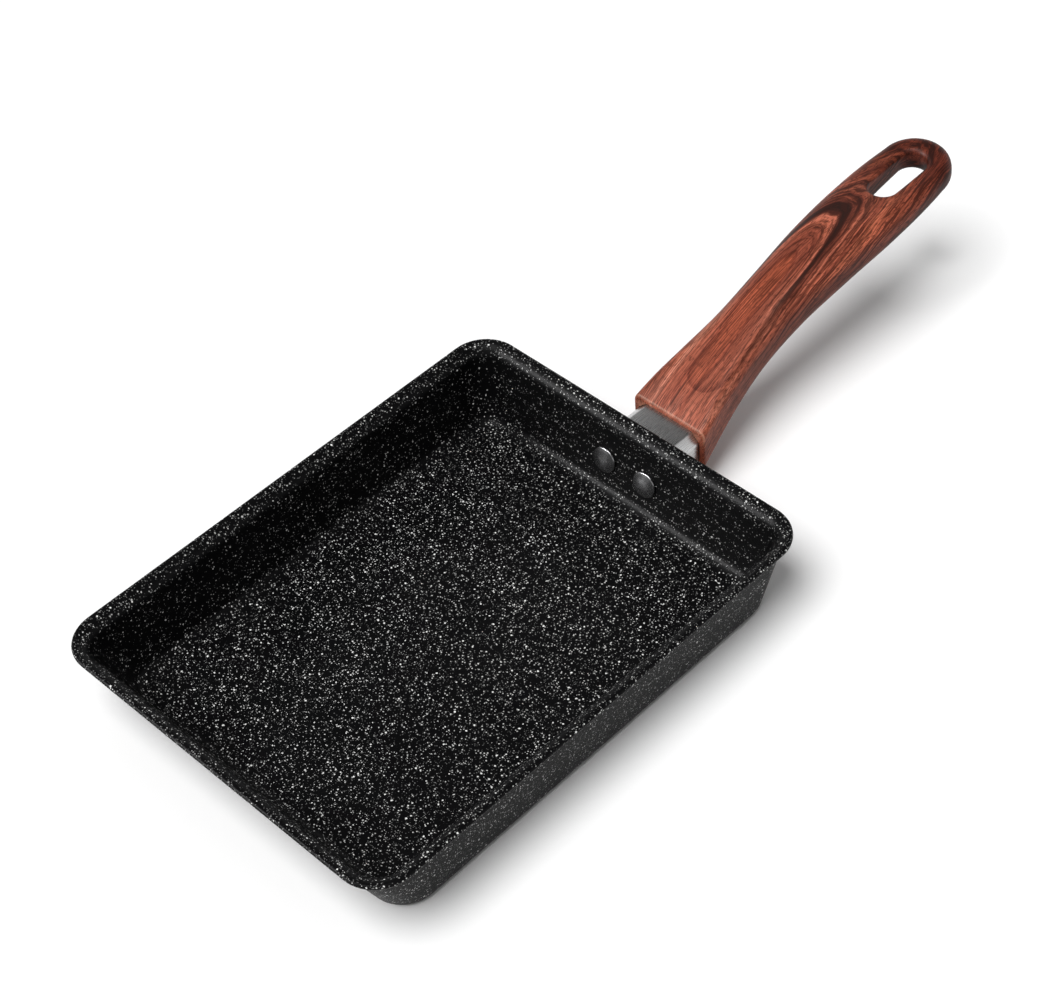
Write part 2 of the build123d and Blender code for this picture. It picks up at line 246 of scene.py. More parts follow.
def eased(name, node, width, material):
    """Copy of a CAD piece with its sharp edges rounded. Its stored normals go: the weld spoils them."""
    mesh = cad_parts[node].data.copy()
    stored = mesh.attributes.get("custom_normal")
    if stored is not None:
        mesh.attributes.remove(stored)
    made = finished(name, mesh, material, node, SHARP_COPY)
    bevel = made.modifiers.new("eased_edges", "BEVEL")
    bevel.width = width * MM
    bevel.segments = 3
    bevel.limit_method = "ANGLE"
    bevel.angle_limit = math.radians(EASE_FROM)
    bevel.harden_normals = True


def rounded_ring(front, back, side, radius, high):
    """Rounded rectangles, one for each row. Each side stands in from the rim by its inset, a corner is a
    quarter circle, and its height turns from one side's to the next by the squared sine of the angle."""
    turn = fan(0, 90, CORNER_STEPS)
    rows = []
    for quarter, (along, across) in enumerate(((1, 1), (-1, 1), (-1, -1), (1, -1))):
        angle = turn + quarter * math.pi / 2
        inset = back if along > 0 else front
        middle_x = along * (HALF_LENGTH - inset - radius)
        middle_y = across * (HALF_WIDTH - side - radius)
        x = middle_x[:, None] + radius[:, None] * np.cos(angle)
        y = middle_y[:, None] + radius[:, None] * np.sin(angle)
        end_high = high["back"] if along > 0 else high["front"]
        z = end_high[:, None] * np.cos(angle) ** 2 + high["side"][:, None] * np.sin(angle) ** 2
        rows.append(np.stack([x, y, z], axis=-1))
    return np.concatenate(rows, axis=1)


def same_high(height):
    """The same height on all four sides."""
    return {"front": height, "back": height, "side": height}


def lip_rows(inset, height):
    """Rings that stand in from the rim by the same inset all round."""
    return rounded_ring(inset, inset, inset, MOUTH_RADIUS - inset, same_high(height))


def fillet_rows(level, inward, count):
    """Rounding from a level floor up to the leaning walls: on each side a circle's arc that touches both.
    Its angle runs from straight down to square to the wall."""
    share = 1 - level / ROOT
    reach = np.linspace(0.0, 1.0, count)
    step, inset, high = {}, {}, {}
    for side, lean in LEANS.items():
        slope = math.atan2(lean, ROOT)
        touch = FILLET * (1 - math.sin(slope)) / math.cos(slope)
        angle = -math.pi / 2 + reach * (math.pi / 2 - slope)
        step[side] = touch - FILLET * np.cos(angle)
        inset[side] = LIP_REACH + lean * share + inward + step[side]
        high[side] = level + FILLET + FILLET * np.sin(angle)
    top_radius = MOUTH_RADIUS - LIP_REACH
    radius = top_radius + (FOOT_RADIUS - top_radius) * share - inward - step["side"]
    return rounded_ring(inset["front"], inset["back"], inset["side"], radius, high)


def plate_outline(level):
    """Rounded rectangle of the plate's pocket at a level, with as many points as the pan's rings."""
    ends = np.array([HALF_LENGTH - PLATE_HALF[0]])
    side = np.array([HALF_WIDTH - PLATE_HALF[1]])
    high = same_high(np.array([level]))
    return rounded_ring(ends + PLATE_MIDDLE, ends - PLATE_MIDDLE, side, np.array([PLATE_RADIUS]), high)[0]


def closed_in(ring, level):
    """Flat end: a ring drawn in to the plate's middle."""
    middle = np.array([PLATE_MIDDLE, 0.0, level])
    return np.stack([middle + share * (ring - middle) for share in (1.0, 0.6, 0.0)])


def pan_shell():
    """Pan body as one closed profile carried round the mouth: underside with the plate's pocket, outer
    wall, under side of the lip, its edge, its top, inner wall and floor. The lip is a quarter of an ellipse
    below and above, and its edge is a shallow arc."""
    turn = fan(0, 90, ROWS["lip_under"])
    lip_under = lip_rows(
        LIP_ROUND + (LIP_REACH - LIP_ROUND) * np.cos(turn), ROOT + (LIP_HEIGHT - LIP_EDGE) * np.sin(turn))
    half = LIP_EDGE / 2
    bow = (half ** 2 + LIP_ROUND ** 2) / (2 * LIP_ROUND)
    sweep = math.asin(half / bow)
    turn = np.linspace(-sweep, sweep, ROWS["lip_edge"])
    lip_edge = lip_rows(bow - bow * np.cos(turn), HEIGHT - half + bow * np.sin(turn))
    turn = fan(90, 0, ROWS["lip_top"])
    reach = LIP_REACH + WALL - LIP_ROUND
    lip_top = lip_rows(LIP_ROUND + reach * np.cos(turn), ROOT + LIP_HEIGHT * np.sin(turn))
    under = fillet_rows(0.0, 0.0, ROWS["foot"])
    inside = fillet_rows(FLOOR_TOP, WALL, ROWS["floor"])[::-1]
    skin = np.concatenate([under, lip_under, lip_edge, lip_top, inside])
    pocket = closed_in(plate_outline(PLATE_DEEP), PLATE_DEEP)[::-1]
    bottom = np.concatenate([pocket, plate_outline(0.0)[None], skin[:1]])
    return [sheet_of(np.concatenate([bottom, skin, closed_in(skin[-1], FLOOR_TOP)]), around=True)]


def wall_frame():
    """Place on the back wall's outer face at the rivets' height, the directions up the wall and outward,
    and the wall's thickness that way."""
    place = HALF_LENGTH - LIP_REACH - LEANS["back"] * (1 - RIVET_HEIGHT / ROOT)
    outward = np.array([math.cos(BACK_LEAN), 0.0, -math.sin(BACK_LEAN)])
    upward = np.array([math.sin(BACK_LEAN), 0.0, math.cos(BACK_LEAN)])
    return np.array([place, 0.0, RIVET_HEIGHT]), upward, outward, WALL * math.cos(BACK_LEAN)


def rivet_sheets(side):
    """Rivet: its profile of radius and height turned about its axis. Low dome with a rounded edge inside
    the pan, shank, and upset tail behind the flange."""
    place, upward, outward, through = wall_frame()
    bow = (DOME_RADIUS ** 2 + DOME_CROWN ** 2) / (2 * DOME_CROWN)
    ease = DOME_RADIUS - DOME_SOFT
    spread = np.linspace(0, ease, DOME_STEPS)
    cap_high = -through - DOME_RIM - DOME_CROWN + bow - np.sqrt(bow ** 2 - spread ** 2)
    cap = np.stack([spread, cap_high], axis=-1)
    turn = fan(90, 0, SOFT_STEPS)
    rim_low = cap_high[-1] + DOME_SOFT
    rim = np.stack([ease + DOME_SOFT * np.cos(turn), rim_low - DOME_SOFT * np.sin(turn)], axis=-1)
    shank = np.array([[DOME_RADIUS - DOME_UNDERCUT, -through], [SHANK_RADIUS, -through],
                      [SHANK_RADIUS, SHEET], [TAIL_RADIUS, SHEET]])
    turn = fan(0, 90, SOFT_STEPS)
    behind = SHEET + TAIL_HEIGHT
    tail = np.stack([TAIL_RADIUS - TAIL_SOFT + TAIL_SOFT * np.cos(turn),
                     behind - TAIL_SOFT + TAIL_SOFT * np.sin(turn)], axis=-1)
    outline = np.concatenate([cap, rim, shank, tail, [[0.0, behind]]])
    angle = fan(0, 360, RIVET_STEPS + 1)[:-1]
    round_way = np.cos(angle)[:, None] * ACROSS + np.sin(angle)[:, None] * upward
    middle = place + side * RIVET_OUT * ACROSS
    turned = middle + outline[:, 0, None, None] * round_way + outline[:, 1, None, None] * outward
    return [sheet_of(turned, around=True)]


def cover_corners(grown):
    """Half of the cover's outline from the front: middle of its flat top, both ends of the slanting
    shoulder, and the foot of its upright side. Grown by 1, the slant's legs gain 2 less root 2."""
    half, top = COVER_HALF + grown, COVER_TOP + grown
    slant = COVER_SLANT + grown * (2 - math.sqrt(2))
    return np.array([[0.0, top], [half - slant, top], [half, top - slant], [half, COVER_BOTTOM]])


def bent(corners, reach, count=6):
    """Line through corners with each inner corner rounded: a parabola between the points a reach before and
    after it, with the corner as its control point."""
    share = np.linspace(0.0, 1.0, count)[:, None]
    parts = [corners[:1]]
    for before, corner, after in zip(corners[:-2], corners[1:-1], corners[2:]):
        start = corner + reach * (before - corner) / np.linalg.norm(before - corner)
        end = corner + reach * (after - corner) / np.linalg.norm(after - corner)
        parts.append((1 - share) ** 2 * start + 2 * share * (1 - share) * corner + share ** 2 * end)
    return np.concatenate(parts + [corners[-1:]])


def cover_sheets():
    """Bent sheet cover: its outline, mirrored, offset by the sheet, with half-round lower edges that the
    outer and the inner skin share, carried from the flange into the handle."""
    outer = bent(cover_corners(0.0), COVER_BEND_OUTSIDE)
    inner = bent(cover_corners(-COVER_SHEET), COVER_BEND_INSIDE)
    half = COVER_SHEET / 2
    edge_high = COVER_BOTTOM + half
    outer[-1, 1] = inner[-1, 1] = edge_high
    turn = fan(0, -180, 9)[1:-1]
    edge = np.stack([COVER_HALF - half + half * np.cos(turn), edge_high + half * np.sin(turn)], axis=-1)
    lowest = len(edge) // 2
    paths = np.concatenate([outer, edge[:lowest + 1]]), np.concatenate([inner, edge[:lowest - 1:-1]])
    face = wall_frame()[0][0] + SHEET / math.cos(BACK_LEAN)
    end = HANDLE_START + COVER_IN
    skins = []
    for path in paths:
        whole = np.concatenate([path[::-1] * (-1, 1), path[1:]])
        start = face + (whole[:, 1] - RIVET_HEIGHT) * math.tan(BACK_LEAN)
        x = start + np.linspace(0.0, 1.0, 9)[:, None] * (end - start)
        y, z = np.broadcast_to(whole[:, 0], x.shape), np.broadcast_to(whole[:, 1], x.shape)
        skins.append(np.stack([x, y, z], axis=-1))
    ends = [np.stack([skins[0][row], skins[1][row]]) for row in (0, -1)]
    return [sheet_of(points) for points in skins + ends]


def curve_through(values, place):
    """Smooth curve through the handle's stations: cubic pieces whose slope at each station is that of the
    parabola through it and its neighbours."""
    slope = np.gradient(values, PLACES, edge_order=2)
    share = np.clip((place - HANDLE_START) / (HANDLE_BEND - HANDLE_START), 0.0, 1.0)
    number = np.clip(np.searchsorted(PLACES, share, side="right") - 1, 0, len(PLACES) - 2)
    gap = PLACES[number + 1] - PLACES[number]
    t = (share - PLACES[number]) / gap
    rising = 3 * t ** 2 - 2 * t ** 3
    return (
        values[number] * (1 - rising) + values[number + 1] * rising
        + gap * (slope[number] * (t - 2 * t ** 2 + t ** 3) + slope[number + 1] * (t ** 3 - t ** 2))
    )


def section_at(place):
    """Middle, lean, half width, half height and corner radius of the handle's section at a place."""
    middle = MIDDLE_LOW + MIDDLE_RISE * curve_through(RISES, place)
    half_wide = FULL_HALF_WIDTH * curve_through(WIDTHS, place)
    half_high = FULL_HALF_HEIGHT * curve_through(HEIGHTS, place)
    near_end = np.clip(
        (place - HANDLE_BEND) / (HANDLE_BEND - HANDLE_START) / (1 - PLACES[-2]) + 1, 0.0, 1.0)
    lean = TILT * near_end ** 2 * (3 - 2 * near_end)
    return middle, lean, half_wide, half_high, half_high * curve_through(CORNERS, place)


def skin_line(side):
    """Line of the handle's upper (1) or lower (-1) skin in its middle plane, as a function of X; it goes on
    straight past the last section."""
    place = np.linspace(HANDLE_START, HANDLE_BEND, 400)
    middle, lean, _, half_high, _ = section_at(place)
    x = place - side * half_high * np.sin(lean)
    z = middle + side * half_high * np.cos(lean)
    past_tip = 20.0
    x = np.append(x, x[-1] + past_tip * math.cos(TILT))
    z = np.append(z, z[-1] + past_tip * math.sin(TILT))
    return lambda at: np.interp(at, x, z)


def corner_profile(half_wide, half_high, radius):
    """Section from the top's end round to the bottom's: quarter circle, upright side, quarter circle."""
    turn = fan(0, 90, ROUND_POINTS)
    straight = 1 - 2 * between_ends(SIDE_POINTS)
    wide, high, radius = half_wide[:, None], half_high[:, None], radius[:, None]
    out = np.concatenate([
        wide - radius + radius * np.sin(turn), np.broadcast_to(wide, (len(wide), SIDE_POINTS)),
        wide - radius + radius * np.cos(turn)], axis=1)
    up = np.concatenate([
        high - radius + radius * np.cos(turn), (high - radius) * straight,
        -(high - radius) - radius * np.sin(turn)], axis=1)
    return out, up


def flat_part(start, end, line):
    """Points on the upper or lower skin between two places in plan, at the skin's height."""
    share = np.linspace(0.0, 1.0, FLAT_POINTS)[:, None]
    plan = start[:, None, :] + share * (end - start)[:, None, :]
    return np.concatenate([plan, line(plan[..., 0])[..., None]], axis=-1)


def slot_border(flare):
    """Plan of the slot's edge, grown by the flare, on one side: quarter circle at its near end, straight
    side, quarter circle at its far end."""
    radius = SLOT_RADIUS + flare
    near, share, far = fan(180, 90, TURN_ROWS), between_ends(SLOT_ROWS), fan(90, 0, TURN_ROWS)
    x = np.concatenate([
        SLOT_NEAR + radius * np.cos(near), SLOT_NEAR + share * (SLOT_FAR - SLOT_NEAR),
        SLOT_FAR + radius * np.cos(far)])
    y = np.concatenate([radius * np.sin(near), np.full(SLOT_ROWS, radius), radius * np.sin(far)])
    return np.stack([x, y], axis=-1)


def tongue():
    """Directions along the tongue and square to it, and the point on it where the screw stands."""
    along = np.array([math.cos(RISE), 0.0, math.sin(RISE)])
    up = np.array([-math.sin(RISE), 0.0, math.cos(RISE)])
    return along, up, np.array([BEND[0], 0.0, BEND[1]]) + SCREW_ALONG * along


def grip_skin(top, bottom, well_middle, well_angle):
    """Outer skin of half the handle: rows run from the front to the tip, columns from the middle of the
    top, or the slot's edge, round the side to the middle of the bottom. The rows' inner ends part round the
    slot and the well, and the last rows swing round the far end's middle."""
    well_out = WELL_RADIUS + WELL_EDGE
    well_place = well_middle + well_out * math.cos(RISE) * np.cos(well_angle)
    slot_start = SLOT_NEAR - SLOT_RADIUS - BOTTOM_FLARE
    before = np.linspace(HANDLE_START + FRONT_ROUND, well_place[0], FRONT_ROWS)[:-1]
    between = np.linspace(well_place[-1], slot_start - 1.0, MIDDLE_ROWS)[1:]
    near_place = SLOT_NEAR + (SLOT_RADIUS + TOP_FLARE) * np.cos(fan(180, 90, TURN_ROWS))
    straight_place = SLOT_NEAR + between_ends(SLOT_ROWS) * (HANDLE_BEND - SLOT_NEAR)
    place = np.concatenate([before, well_place, between, near_place, straight_place])
    count, unparted = len(place), len(before) + len(well_place) + len(between)

    middle, lean, half_wide, half_high, radius = section_at(place)
    centre = np.stack([place, np.zeros(count), middle], axis=-1)
    upright = np.stack([-np.sin(lean), np.zeros(count), np.cos(lean)], axis=-1)

    end_middle, _, end_wide, end_high, end_radius = section_at(np.array([HANDLE_BEND]))
    swing = fan(90, 0, TURN_ROWS)
    onward = np.array([math.cos(TILT), 0.0, math.sin(TILT)])
    end_up = np.array([-math.sin(TILT), 0.0, math.cos(TILT)])
    end_centre = np.broadcast_to([HANDLE_BEND, 0.0, end_middle[0]], (TURN_ROWS, 3))
    centre = np.concatenate([centre, end_centre])
    swung = np.cos(swing)[:, None] * onward + np.sin(swing)[:, None] * ACROSS
    outward = np.concatenate([np.broadcast_to(ACROSS, (count, 3)), swung])
    upright = np.concatenate([upright, np.broadcast_to(end_up, (TURN_ROWS, 3))])
    half_wide = np.append(half_wide, np.repeat(end_wide, TURN_ROWS))
    half_high = np.append(half_high, np.repeat(end_high, TURN_ROWS))
    radius = np.append(radius, np.repeat(end_radius, TURN_ROWS))

    out, high = corner_profile(half_wide, half_high, radius)
    side = centre[:, None] + out[..., None] * outward[:, None] + high[..., None] * upright[:, None]
    upper_start = np.stack([place, np.zeros(count)], axis=-1)[:unparted]
    lower_start = upper_start.copy()
    lower_start[len(before):len(before) + len(well_place), 1] = well_out * np.sin(well_angle)
    upper = flat_part(np.concatenate([upper_start, slot_border(TOP_FLARE)]), side[:, 0, :2], top)
    lower = flat_part(np.concatenate([lower_start, slot_border(BOTTOM_FLARE)]), side[:, -1, :2], bottom)
    return np.concatenate([upper[:, :-1], side, lower[:, ::-1][:, 1:]], axis=1)


def slot_wall(top, bottom):
    """Half of the hanging slot's wall, from the upper skin down to the lower one. At both it flares out
    along a quarter circle."""
    turn = fan(0, 90, 9)
    columns = []
    for line, side, flare, angles in ((top, 1, TOP_FLARE, turn), (bottom, -1, BOTTOM_FLARE, turn[::-1])):
        for angle in angles:
            plan = slot_border(flare * (1 - math.sin(angle)))
            columns.append(np.column_stack([plan, line(plan[:, 0]) - side * flare * (1 - math.cos(angle))]))
    return np.stack(columns, axis=1)


def screw_well(bottom, well_middle, well_angle):
    """Half of the screw's well: an edge rounded by a quarter circle, the wall along the screw, and the
    floor below the tongue, which is drawn in to its middle."""
    along, up, seat = tongue()
    columns = []
    for turn in fan(0, 90, 5):
        reach = WELL_RADIUS + WELL_EDGE - WELL_EDGE * math.sin(turn)
        x = well_middle + reach * math.cos(RISE) * np.cos(well_angle)
        height = bottom(x) + WELL_EDGE * (1 - math.cos(turn))
        columns.append(np.column_stack([x, reach * np.sin(well_angle), height]))
    round_way = np.cos(well_angle)[:, None] * along + np.sin(well_angle)[:, None] * ACROSS
    for reach in (WELL_RADIUS, WELL_RADIUS / 2, 0.0):
        columns.append(seat - SEAT_BELOW * up + reach * round_way)
    return np.stack(columns, axis=1)


def front_cap():
    """Front of half the handle: rounded edge, flat face, and the socket that the cover slides into, closed
    by its end."""
    turn = fan(90, 0, 6)
    place = HANDLE_START + FRONT_ROUND * (1 - np.cos(turn))
    inward = FRONT_ROUND * (1 - np.sin(turn))
    middle, _, half_wide, half_high, radius = section_at(place)
    out, up = corner_profile(half_wide - inward, half_high - inward, radius - inward)
    share = np.linspace(0, 1, FLAT_POINTS)[:-1]
    flat = len(share)
    out = np.concatenate([out[:, :1] * share, out, out[:, -1:] * share[::-1]], axis=1)
    up = np.concatenate([np.repeat(up[:, :1], flat, axis=1), up, np.repeat(up[:, -1:], flat, axis=1)], axis=1)
    edge = np.stack([np.broadcast_to(place[:, None], out.shape), out, up + middle[:, None]], axis=-1)
    top_middle, top_end, side_top, foot = cover_corners(SOCKET_ROOM)
    high, half, low = top_middle[1], foot[0], COVER_BOTTOM - SOCKET_ROOM
    top = top_middle + share[:, None] * (top_end - top_middle)
    shoulder = top_end + np.linspace(0, 1, ROUND_POINTS)[:, None] * (side_top - top_end)
    upright = side_top + between_ends(SIDE_POINTS)[:, None] * ((half, low) - side_top)
    base = np.stack([half * share[::-1], np.full(flat, low)], axis=-1)
    loop = np.concatenate([top, shoulder, upright, np.full((ROUND_POINTS, 2), (half, low)), base])
    deep = HANDLE_START + COVER_IN + SOCKET_ROOM
    rows = [np.column_stack([np.full(len(loop), x), loop]) for x in (HANDLE_START, deep)]
    middle = np.array([deep, 0.0, (high + low) / 2])
    rows += [middle + (rows[1] - middle) * share for share in (0.5, 0.0)]
    return np.concatenate([edge, np.stack(rows)])


def grip_sheets():
    """Handle: skin, slot, well and front of one half, and the same mirrored across its middle plane. The
    well begins where the screw's line, followed down in steps of 0.01 mm, leaves the lower skin."""
    top, bottom = skin_line(1), skin_line(-1)
    _, up, seat = tongue()
    down = np.linspace(0.0, 15.0, 1501)
    depth = down[np.argmax(seat[2] - down * up[2] < bottom(seat[0] - down * up[0]))]
    well_middle = seat[0] - depth * up[0]
    well_angle = fan(180, 0, WELL_ROWS)
    halves = (
        grip_skin(top, bottom, well_middle, well_angle), slot_wall(top, bottom),
        screw_well(bottom, well_middle, well_angle), front_cap())
    return [sheet_of(part * (1, mirror, 1)) for part in halves for mirror in (1, -1)]


def linear(code):
    """sRGB hex code to linear red, green, blue and alpha."""
    parts = [int(code[i:i + 2], 16) / 255 for i in (1, 3, 5)]
    return [c / 12.92 if c <= 0.04045 else ((c + 0.055) / 1.055) ** 2.4 for c in parts] + [1.0]


def per_mm(size):
    """Texture scale, in repeats per metre, for a feature of a size in millimetres."""
    return 1.0 / (size * MM)


def add(tree, kind, inputs=(), stops=(), **settings):
    """Adds a node, makes its settings, and sets or links its inputs; a node given as an input stands for
    its first output, and stops are a ramp's places and hex codes."""
    node = tree.nodes.new("ShaderNode" + kind)
    for key, value in settings.items():
        setattr(node, key, value)
    for key, value in dict(inputs).items():
        value = value.outputs[0] if isinstance(value, bpy.types.Node) else value
        if isinstance(value, bpy.types.NodeSocket):
            tree.links.new(value, node.inputs[key])
        else:
            node.inputs[key].default_value = value
    for number, (place, code) in enumerate(stops):
        bar = node.color_ramp.elements
        stop = bar[number] if number < 2 else bar.new(place)
        stop.position = place
        stop.color = linear(code)
    return node


def material(name, **values):
    """New material, its node tree and its surface shader, with constants set on the shader's sockets."""
    made = bpy.data.materials.new(name)
    made.use_nodes = True
    tree = made.node_tree
    shader = tree.nodes["Principled BSDF"]
    for key, value in values.items():
        shader.inputs[key.replace("_", " ")].default_value = value
    return made, tree, shader


def sprayed_coating():
    """PTFE non-stick coating, sprayed and baked over aluminium: near-black and satin, with light mineral
    specks and a faint orange peel."""
    made, tree, shader = material("sprayed_ptfe_coating", Roughness=0.38, IOR=1.35, Specular_IOR_Level=0.11)
    place = add(tree, "TexCoord").outputs["Object"]
    # share of specks, fewer on the steep walls as painted shade
    speck_share_and_shade = add(tree, "Attribute", attribute_name="speck_share_and_shade").outputs["Fac"]
    # places shifted a little, so that the specks are ragged and not round
    ragged = add(tree, "TexNoise", {"Vector": place, "Scale": per_mm(RAGGED), "Detail": 1.0})
    ragged = add(tree, "VectorMath", {0: ragged.outputs["Color"], 1: (0.5, 0.5, 0.5)}, operation="SUBTRACT")
    ragged = add(tree, "VectorMath", {0: ragged, "Scale": RAGGED_SHIFT * MM}, operation="SCALE")
    loose = add(tree, "VectorMath", {0: place, 1: ragged}, operation="ADD")
    tone = 0.0
    for spacing, radius, kept, light in SPECKS:
        cells = add(tree, "TexVoronoi", {"Vector": loose, "Scale": per_mm(spacing)})
        chance = add(tree, "SeparateColor", {"Color": cells.outputs["Color"]})
        limit = add(tree, "Math", {0: speck_share_and_shade, 1: kept}, operation="MULTIPLY")
        chosen = add(tree, "Math", {0: chance.outputs["Red"], 1: limit}, operation="LESS_THAN")
        size = add(tree, "MapRange", {
            "Value": chance.outputs["Green"], "To Min": SMALLEST * radius, "To Max": radius})
        core = add(tree, "Math", {0: size, 1: CORE}, operation="MULTIPLY")
        dot = add(tree, "MapRange", {
            "Value": cells.outputs["Distance"], "From Min": core, "From Max": size,
            "To Min": 1.0, "To Max": 0.0})
        bright = add(tree, "MapRange", {
            "Value": chance.outputs["Blue"], "To Min": FAINTEST * light, "To Max": light})
        dot = add(tree, "Math", {0: dot, 1: chosen}, operation="MULTIPLY")
        dot = add(tree, "Math", {0: dot, 1: bright}, operation="MULTIPLY")
        tone = add(tree, "Math", {0: tone, 1: dot}, operation="MAXIMUM")
    cloud = add(tree, "TexNoise", {"Vector": place, "Scale": per_mm(CLOUD), "Detail": 3.0})
    ground = add(tree, "ValToRGB", {"Fac": cloud}, stops=((0.3, "#060607"), (0.7, "#0b0b0c")))
    colour = add(tree, "Mix", {"Factor": tone, "A": ground, "B": linear("#f6f6f4")}, data_type="RGBA")
    tree.links.new(colour.outputs["Result"], shader.inputs["Base Color"])
    peel = add(tree, "TexNoise", {"Vector": place, "Scale": per_mm(PEEL), "Detail": 1.0})
    bump = add(tree, "Bump", {"Height": peel, "Strength": 0.6, "Distance": PEEL_DEPTH * MM})
    tree.links.new(bump.outputs["Normal"], shader.inputs["Normal"])
    return made


def front_bow(tree, along, y, sway):
    """Darker bow that closes the inner oval toward the front: a ring about a point in front, open behind.
    Its darkness rises with the distance from that point, ends at once, and fades to the back."""
    before = add(tree, "MapRange", {
        "Value": along, "From Min": BOW_PLACE - BOW_REACH, "From Max": BOW_PLACE,
        "To Min": -BOW_REACH, "To Max": 0.0})
    aside = add(tree, "Math", {0: sway, 1: BOW_SWAY, 2: BOW_ACROSS}, operation="MULTIPLY_ADD")
    aside = add(tree, "Math", {0: y, 1: aside}, operation="ADD")
    bow = add(tree, "CombineXYZ", {"X": before, "Y": aside})
    bow = add(tree, "VectorMath", {0: bow}, operation="LENGTH").outputs["Value"]
    bow = add(tree, "MapRange", {"Value": bow, "From Max": BOW_SPAN})
    places = (0.0, *(radius / BOW_SPAN for radius in BOW_RADII))
    bow = add(tree, "ValToRGB", {"Fac": bow}, stops=zip(places, ("#000000", "#000000", "#e4e4e4", "#000000")))
    ends = add(tree, "MapRange", {
        "Value": along, "From Min": BOW_FADE[0], "From Max": BOW_FADE[1], "To Min": 1.0, "To Max": 0.0})
    return add(tree, "Math", {0: bow, 1: ends}, operation="MULTIPLY")


def grained_resin():
    """Moulded phenolic resin with a printed wood figure under a clear semi-gloss skin: reddish brown, fine
    dark fibres that run with the handle, and long nested ovals that close toward its end."""
    made, tree, shader = material("wood_printed_phenolic_resin", Roughness=0.45, Specular_IOR_Level=0.13)
    grain = add(tree, "Attribute", attribute_name="grain").outputs["Vector"]
    figure = add(tree, "Attribute", attribute_name="figure").outputs["Fac"]
    # painted highlight on the front edge of the handle
    painted_highlight = add(tree, "Attribute", attribute_name="painted_edge_highlight").outputs["Fac"]
    parts = add(tree, "SeparateXYZ", {"Vector": grain})
    along = parts.outputs["X"]
    front = add(tree, "MapRange", {
        "Value": along, "From Min": PLAIN_FRONT, "From Max": PLAIN_END, "To Min": PLAIN_MOST, "To Max": 0.0},
        interpolation_type="SMOOTHSTEP")
    tail = add(tree, "MapRange", {"Value": along, "From Min": TAIL_START, "From Max": TAIL_END})

    # level of the ovals: they waver over some centimetres along and one across
    slow = add(tree, "VectorMath", {0: grain, 1: SWAY_TURNS}, operation="MULTIPLY")
    sway = add(tree, "TexNoise", {"Vector": slow, "Scale": 1.0, "Detail": 2.0})
    sway = add(tree, "MapRange", {"Value": sway, "To Min": -SWAY, "To Max": SWAY})
    level = add(tree, "Math", {0: figure, 1: sway}, operation="ADD")

    # fibres 0.42 mm apart, as fine as still shows: 16 mm long round the ovals, and 20 mm long and straight in
    # front and in the inner oval
    across = add(tree, "Math", {0: level, 1: OVAL_HALF / FIBRE}, operation="MULTIPLY")
    length = add(tree, "Math", {0: along, 1: 1 / FIBRE_LONG}, operation="MULTIPLY")
    round_way = add(tree, "Math", {0: parts.outputs["Y"], 1: 1 / FIBRE_ACROSS}, operation="MULTIPLY")
    flow = add(tree, "CombineXYZ", {"X": length, "Y": across, "Z": round_way})
    fibre = add(tree, "TexNoise", {"Vector": flow, "Scale": 1.0, "Detail": 2.0, "Roughness": 0.65})
    straight = add(tree, "VectorMath", {
        0: grain, 1: (1 / STRAIGHT_LONG, 1 / FIBRE, 1 / FIBRE)}, operation="MULTIPLY")
    plain = add(tree, "TexNoise", {"Vector": straight, "Scale": 1.0, "Detail": 2.0, "Roughness": 0.65})
    heart = add(tree, "MapRange", {
        "Value": level, "From Min": 0.45, "From Max": 0.8, "To Min": 1.0, "To Max": 0.0})
    still = add(tree, "Math", {0: front, 1: heart}, operation="MAXIMUM")
    strand = add(tree, "Mix", {"Factor": still, "A": fibre, "B": plain}, data_type="FLOAT")
    deeper = add(tree, "Math", {0: tail, 1: 0.04}, operation="MULTIPLY")
    strand = add(tree, "Math", {0: strand.outputs["Result"], 1: deeper}, operation="SUBTRACT")

    # dark pores 2.2 mm long, and the dark and light fibres
    pores = add(tree, "VectorMath", {0: grain, 1: (1 / PORE_LONG, 1 / PORE, 1 / PORE)}, operation="MULTIPLY")
    pores = add(tree, "TexNoise", {"Vector": pores, "Scale": 1.0, "Detail": 1.0})
    pores = add(tree, "MapRange", {
        "Value": pores, "From Min": 0.35, "From Max": 0.47, "To Min": 0.7, "To Max": 0.0})
    dark = add(tree, "MapRange", {
        "Value": strand, "From Min": 0.40, "From Max": 0.51, "To Min": 0.8, "To Max": 0.0})
    dark = add(tree, "Math", {0: dark, 1: pores}, operation="MAXIMUM")
    calm = add(tree, "MapRange", {"Value": still, "To Min": 1.0, "To Max": 0.88})
    dark = add(tree, "Math", {0: dark, 1: calm}, operation="MULTIPLY")
    light = add(tree, "MapRange", {"Value": strand, "From Min": 0.54, "From Max": 0.62})

    # ground colour: the ovals, and outside the inner one in front pale streaks 5 mm apart, partly print and
    # partly painted sheen
    spot = add(tree, "Math", {0: level, 1: OVALS[-1][0]}, operation="DIVIDE")
    ovals = add(tree, "ValToRGB", {"Fac": spot}, stops=[(at / OVALS[-1][0], code) for at, code in OVALS])
    broad = add(tree, "VectorMath", {
        0: grain, 1: (1 / STREAK_LONG, 1 / STREAK, 1 / STREAK)}, operation="MULTIPLY")
    streaks = add(tree, "TexNoise", {"Vector": broad, "Scale": 1.0, "Detail": 1.0})
    pale_print_and_sheen = add(tree, "ValToRGB", {"Fac": streaks}, stops=(
        (0.38, "#9d4f39"), (0.55, "#b5654d"), (0.68, "#cc846c")))
    outside = add(tree, "MapRange", {
        "Value": level, "From Min": 0.46, "From Max": 0.47, "To Min": 0.35, "To Max": 1.0})
    outside = add(tree, "Math", {0: front, 1: outside}, operation="MULTIPLY")
